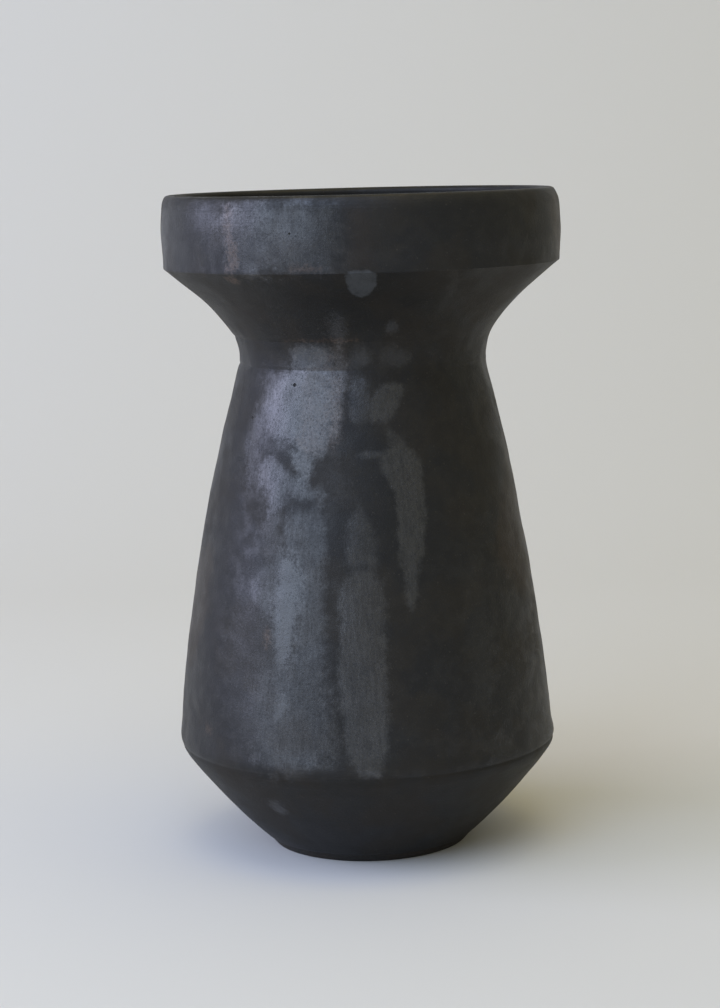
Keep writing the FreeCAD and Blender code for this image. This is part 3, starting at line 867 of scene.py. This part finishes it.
# smoke-blackened clay, rubbed bright in places with a smooth stone
def burnishedClay(name, finish):
    material, tree, shader, place = newClay(name)
    noise = {kind: cloud(tree, place, *row) for kind, row in burnishedNoises.items()}
    masks = markMasks(tree, noise)
    stroked = strokesOf(tree, noise, finish)
    openHoles = pinholeMask(tree, place)
    gloss = glossOf(tree, place, noise, masks, stroked, openHoles, finish)
    colour = colourOf(tree, place, noise, masks, stroked, openHoles, finish)
    dull = rise(tree, noise["broad"], 0.4, 0.65, *finish["roughness"])
    dull = plus(tree, dull, gloss, finish["glossRoughness"])
    dull = plus(tree, dull, keptOn(tree, "smoky"), finish["smokyRoughness"])
    tree.links.new(colour, shader.inputs["Base Color"])
    tree.links.new(dull, shader.inputs["Roughness"])
    tree.links.new(gloss, shader.inputs["Coat Weight"])
    shader.inputs["Coat Roughness"].default_value = finish["coatRoughness"]
    shader.inputs["Coat IOR"].default_value = finish["coatIor"]
    shader.inputs["Specular IOR Level"].default_value = finish["specular"]
    relief = reliefOf(tree, place, noise, openHoles, finish)
    addBump(tree, shader, relief, "Normal")
    addBump(tree, shader, relief, "Coat Normal", finish["coatBump"])
    return material


plainFinish = {
    "clay": (0.017, 0.0155, 0.014),
    "brownClay": (0.026, 0.0195, 0.0145),
    "roughness": (0.56, 0.70),
    "specular": 0.3,
    "grainRelief": 0.05,
    "fleckRelief": 0.12,
}


# unrubbed clay of the foot and the coils pressed into the seams
def plainClay(name, finish):
    material, tree, shader, place = newClay(name)
    broad = cloud(tree, place, (22, 22, 22), 4.0, 0.6)
    fleck = cloud(tree, place, (1.8, 1.8, 1.8), 3.0, 0.65, 5.0)
    grain = cloud(tree, place, (0.6, 0.6, 0.6), 2.0, 0.6, 7.0)
    colour = blend(tree, rise(tree, broad, 0.4, 0.62), finish["clay"], finish["brownClay"])
    tree.links.new(colour, shader.inputs["Base Color"])
    tree.links.new(rise(tree, fleck, 0.35, 0.65, *finish["roughness"]), shader.inputs["Roughness"])
    shader.inputs["Specular IOR Level"].default_value = finish["specular"]
    relief = plus(tree, times(tree, grain, finish["grainRelief"]), fleck, finish["fleckRelief"])
    addBump(tree, shader, relief, "Normal")
    return material


fillOutsideProfile()
burnished = burnishedClay("burnishedClay", burnishedFinish)
plain = plainClay("plainClay", plainFinish)
print("clay pot: two kinds of clay mixed")
pieces = [
    ("baseDisc", "base_disc", "plain_clay", plain),
    ("lowerWall", "lower_wall", "burnished_clay", burnished),
    ("bodyWall", "body_wall", "burnished_clay", burnished),
    ("neckRing", "neck_ring", "burnished_clay", burnished),
    ("flaredNeck", "flared_neck", "burnished_clay", burnished),
    ("rimCollar", "rim_collar", "burnished_clay", burnished),
    ("baseSeamCoil", "base_seam_coil", "plain_clay", plain),
    ("bellySeamCoil", "belly_seam_coil", "plain_clay", plain),
    ("collarSeamCoil", "collar_seam_coil", "plain_clay", plain),
]
for name, node, slotName, clay in pieces:
    lathe(name, node, clay)


# the studio, in metres
room = {
    "wallDistance": 1.9,  # far enough for a look at the back from in front of it
    "sweepRadius": 1.2,
    "sweepParts": 32,
    "floorFront": -3.0,
    "halfWidth": 3.2,
    "wallHeight": 2.6,
    "paint": (0.72, 0.72, 0.71),
    "paintRoughness": 0.9,
    "paintSpecular": 0.1,
}


# one seamless sheet: floor, then a wide curve up to the wall
def buildBackdrop():
    outline = [(room["floorFront"], 0.0)]
    radius = room["sweepRadius"]
    bend = room["wallDistance"] - radius
    for part in range(room["sweepParts"] + 1):
        turn = math.pi / 2 * part / room["sweepParts"]
        outline.append((bend + radius * math.sin(turn), radius * (1 - math.cos(turn))))
    outline.append((room["wallDistance"], room["wallHeight"]))
    vertices = []
    for across in (-room["halfWidth"], room["halfWidth"]):
        vertices += [(across, depth, height) for depth, height in outline]
    count = len(outline)
    faces = [(n, n + count, n + count + 1, n + 1) for n in range(count - 1)]
    mesh = bpy.data.meshes.new("backdrop")
    mesh.from_pydata(vertices, [], faces)
    mesh.update()
    for polygon in mesh.polygons:
        polygon.use_smooth = True
    sheet = bpy.data.objects.new("backdrop", mesh)
    bpy.context.scene.collection.objects.link(sheet)
    material = bpy.data.materials.new("paleSweep")
    material.use_nodes = True
    shader = material.node_tree.nodes["Principled BSDF"]
    shader.inputs["Base Color"].default_value = (*room["paint"], 1)
    shader.inputs["Roughness"].default_value = room["paintRoughness"]
    shader.inputs["Specular IOR Level"].default_value = room["paintSpecular"]
    mesh.materials.append(material)


# soft lights: a big window in front on the left, one beside it, the sky and a warm ceiling
lights = [
    {"name": "window", "place": (-1.60, -1.60, 1.10), "target": (0, 0, 0.2), "size": (2.4, 2.1),
     "power": 29.6, "colour": (0.61, 0.75, 1.0)},
    {"name": "sideWindow", "place": (-2.45, -0.10, 1.10), "target": (0, 0, 0.2), "size": (1.7, 1.8),
     "power": 38.4, "colour": (0.66, 0.70, 1.0)},
    {"name": "skylight", "place": (-0.6, -1.7, 2.3), "target": (-0.1, -0.5, 0), "size": (2.4, 2.0),
     "power": 27.0, "colour": (0.43, 0.59, 1.0)},
    {"name": "ceiling", "place": (0.3, -0.3, 2.4), "target": (0, 0, 0), "size": (2.4, 2.4),
     "power": 16.5, "colour": (1.0, 0.82, 0.34)},
]
surroundings = (0.335, 0.312, 0.22)


def addLight(settings):
    data = bpy.data.lights.new(settings["name"], "AREA")
    data.shape = "RECTANGLE"
    data.size, data.size_y = settings["size"]
    data.energy = settings["power"]
    data.color = settings["colour"]
    light = bpy.data.objects.new(settings["name"], data)
    bpy.context.scene.collection.objects.link(light)
    light.location = settings["place"]
    facing = Vector(settings["target"]) - Vector(settings["place"])
    light.rotation_euler = facing.to_track_quat("-Z", "Y").to_euler()


def addWorld():
    world = bpy.data.worlds.new("studio")
    bpy.context.scene.world = world
    world.use_nodes = True
    background = world.node_tree.nodes["Background"]
    background.inputs["Color"].default_value = (*surroundings, 1)
    background.inputs["Strength"].default_value = 1.0


cameraSettings = {
    "distance": 1.2043,  # metres in front of the axis and above the floor
    "height": 0.360,
    "lens": 83.4,
    "sensor": 36.0,
    "down": 8.632,  # degrees that it looks down, to the left, and leans
    "aside": 0.070,
    "roll": 1.542,
}


def addCamera():
    data = bpy.data.cameras.new("camera")
    data.lens = cameraSettings["lens"]
    data.sensor_width = cameraSettings["sensor"]
    camera = bpy.data.objects.new("camera", data)
    bpy.context.scene.collection.objects.link(camera)
    aim = Matrix.Rotation(math.radians(cameraSettings["aside"]), 4, "Z")
    aim = aim @ Matrix.Rotation(math.radians(90.0 - cameraSettings["down"]), 4, "X")
    aim = aim @ Matrix.Rotation(math.radians(-cameraSettings["roll"]), 4, "Z")
    place = Matrix.Translation((0.0, -cameraSettings["distance"], cameraSettings["height"]))
    camera.matrix_world = place @ aim
    bpy.context.scene.camera = camera


buildBackdrop()
for settings in lights:
    addLight(settings)
addWorld()
addCamera()
bpy.context.scene.view_settings.view_transform = "Standard"
print("clay pot: studio ready")

print("clay pot: finished")
